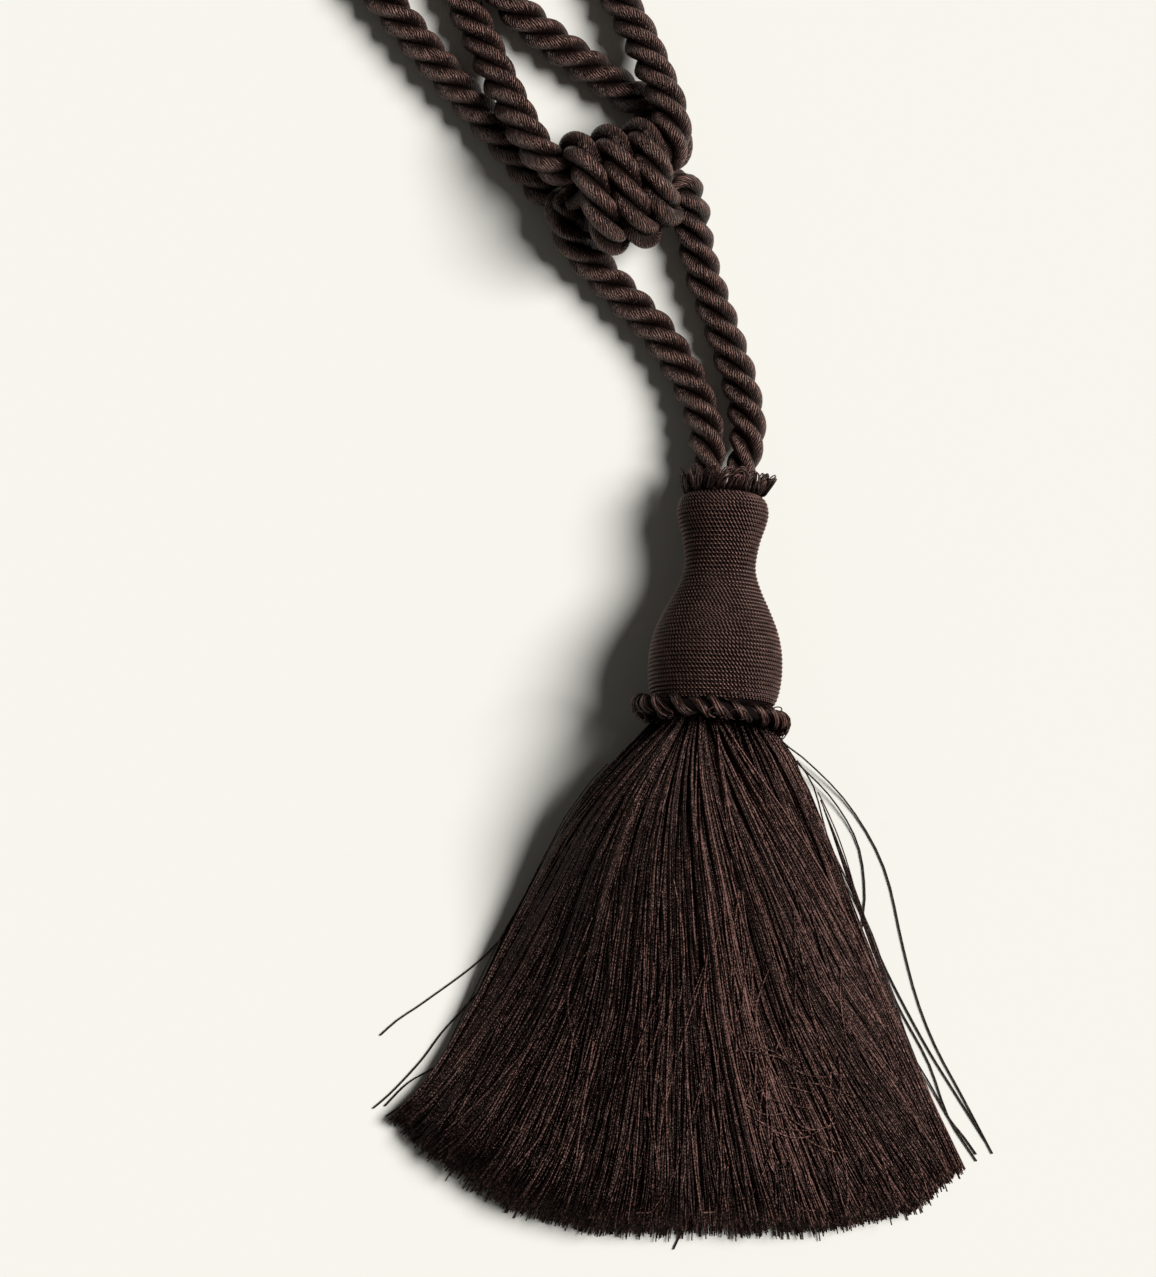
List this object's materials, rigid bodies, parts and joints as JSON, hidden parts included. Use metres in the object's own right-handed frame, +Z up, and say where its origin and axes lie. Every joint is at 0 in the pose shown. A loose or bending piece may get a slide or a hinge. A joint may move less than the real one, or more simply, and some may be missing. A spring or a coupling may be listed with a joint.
{
  "type": "curtain tieback tassel",
  "caption": "Curtain tieback tassel lying on its side: a knotted three-ply rope with looped arms, a cord-wound head with looped ruches, and a cut skirt of twisted yarn.",
  "frame": {"origin": "middle of the small flat spot under the head's belly, where the tassel rests on the surface", "axes": "+Y along the tassel from the skirt up to the rope, +Z up from the surface it lies on, +X to the right seen from above"},
  "size_m": [0.1936, 0.4725, 0.0395],
  "materials": {
    "wound_cord": "fine two-ply rayon cord wound in close rows over a turned mould, dark brown, soft satin",
    "looped_yarn": "bunched loops of twisted rayon yarn, very dark brown",
    "skirt_yarn": "long twisted rayon yarns, cut at the hem, dark brown with a satin light along each yarn",
    "satin_rope": "three-ply rayon rope, each ply covered with fine parallel yarns, dark brown satin"
  },
  "bodies": {
    "root": {"head": "wound_cord", "ruff_bottom": "looped_yarn", "ruff_top": "looped_yarn", "skirt": "skirt_yarn", "cord_leg_left": "satin_rope", "cord_leg_right": "satin_rope", "cord_arm_left": "satin_rope", "cord_arm_right": "satin_rope", "cord_knot": "satin_rope", "cord_knot_core": "satin_rope"}
  },
  "joints": []
}
